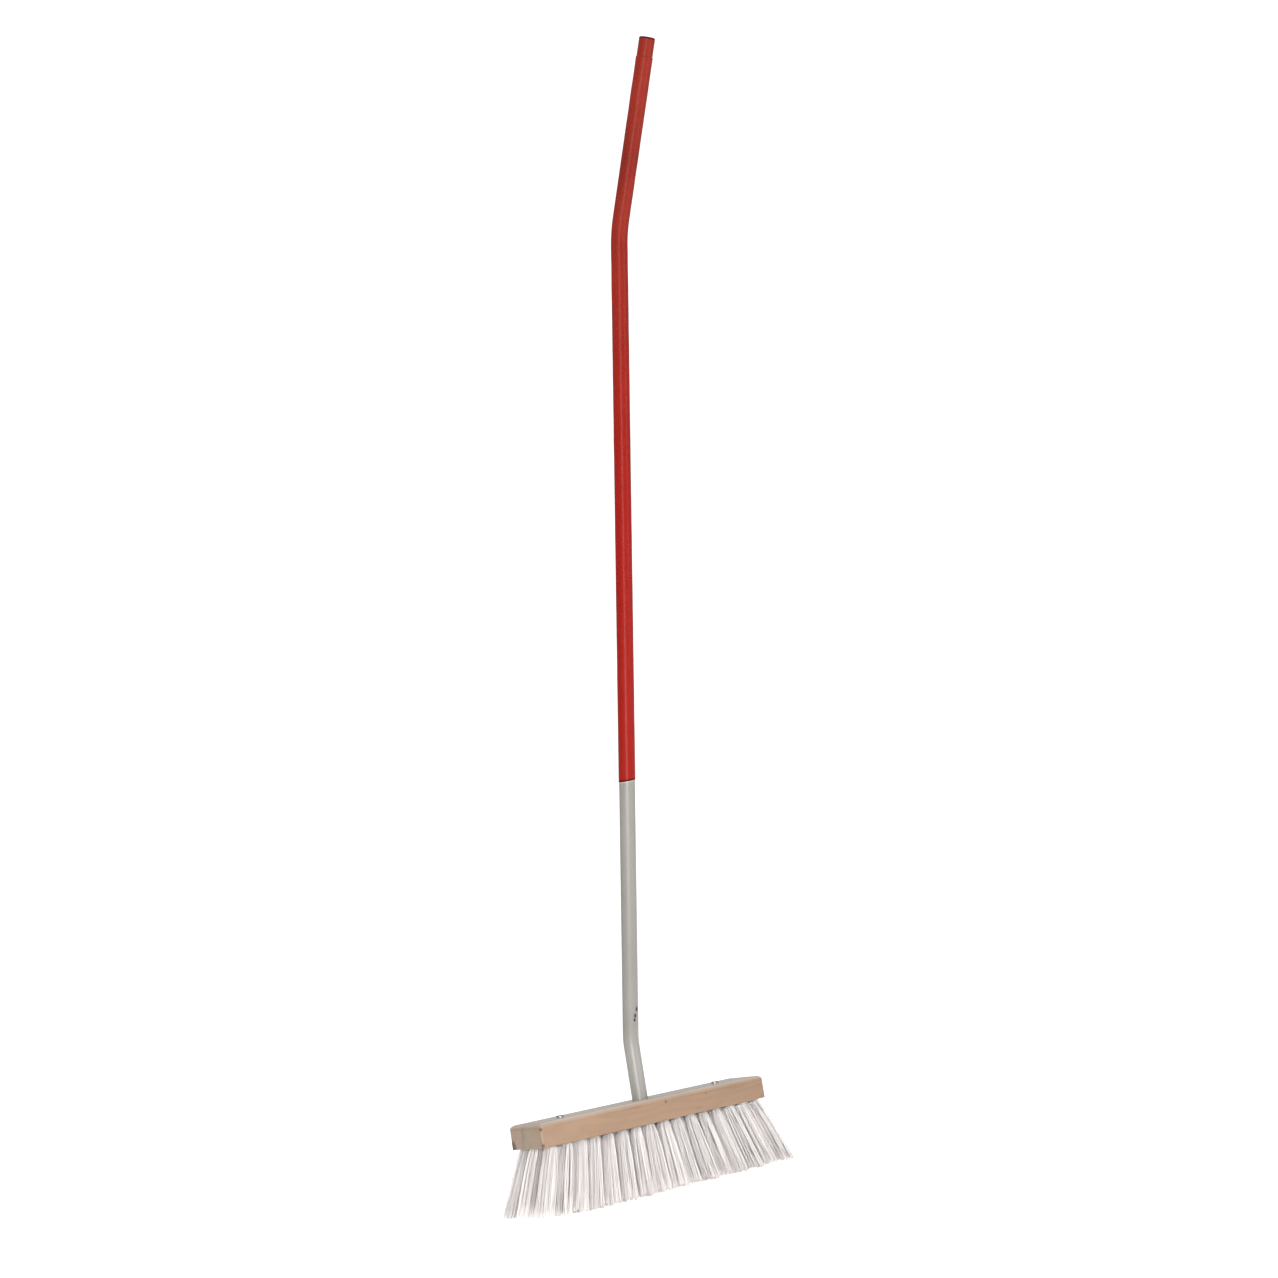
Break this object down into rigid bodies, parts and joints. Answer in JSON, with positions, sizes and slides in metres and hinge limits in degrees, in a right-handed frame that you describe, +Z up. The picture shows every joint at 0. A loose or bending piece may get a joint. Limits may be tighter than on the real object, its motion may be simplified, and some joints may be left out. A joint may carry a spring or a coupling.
{
  "type": "push broom",
  "caption": "Push broom with a wooden head, leaning white bristle tufts and a twice-bent steel handle in a red plastic grip sleeve.",
  "frame": {"origin": "in the sweeping plane at the bristle tips, straight below the centre of the handle's socket", "axes": "+Z up from the bristle tips to the handle, X along the head, -Y towards the user, the side that the handle leans to"},
  "size_m": [0.4588, 0.4283, 1.5331],
  "materials": {
    "block_wood": "light hardwood, clear satin lacquer, worn at the corners",
    "tube_paint": "light warm grey enamel on steel, small chips near the head",
    "sleeve_plastic": "red PVC sleeve, semi-gloss, slightly rubbed at the grip",
    "plug_plastic": "red moulded plastic, satin",
    "screw_steel": "zinc-plated steel",
    "anchor_steel": "flat drawn wire",
    "bristle_white": "white synthetic filament, slightly translucent"
  },
  "bodies": {
    "root": {"head_block": "block_wood", "handle_tube": "tube_paint", "grip_sleeve": "sleeve_plastic", "end_plug": "plug_plastic", "handle_screw": "screw_steel", "top_screws": "screw_steel", "tuft_column_01": "bristle_white", "tuft_column_02": "bristle_white", "tuft_column_03": "bristle_white", "tuft_column_04": "bristle_white", "tuft_column_05": "bristle_white", "tuft_column_06": "bristle_white", "tuft_column_07": "bristle_white", "tuft_column_08": "bristle_white", "tuft_column_09": "bristle_white", "tuft_column_10": "bristle_white", "tuft_column_11": "bristle_white", "tuft_column_12": "bristle_white", "tuft_column_13": "bristle_white", "tuft_column_14": "bristle_white", "tuft_column_15": "bristle_white", "tuft_column_16": "bristle_white", "tuft_column_17": "bristle_white", "tuft_column_18": "bristle_white", "tuft_column_19": "bristle_white", "tuft_column_20": "bristle_white", "tuft_column_21": "bristle_white", "tuft_column_22": "bristle_white", "tuft_column_23": "bristle_white", "tuft_column_24": "bristle_white", "tuft_column_25": "bristle_white", "tuft_column_26": "bristle_white", "tuft_column_27": "bristle_white", "tuft_column_28": "bristle_white", "tuft_column_29": "bristle_white", "tuft_column_30": "bristle_white", "anchors_row_1": "anchor_steel", "anchors_row_2": "anchor_steel", "anchors_row_3": "anchor_steel", "anchors_row_4": "anchor_steel", "anchors_row_5": "anchor_steel"}
  },
  "joints": []
}
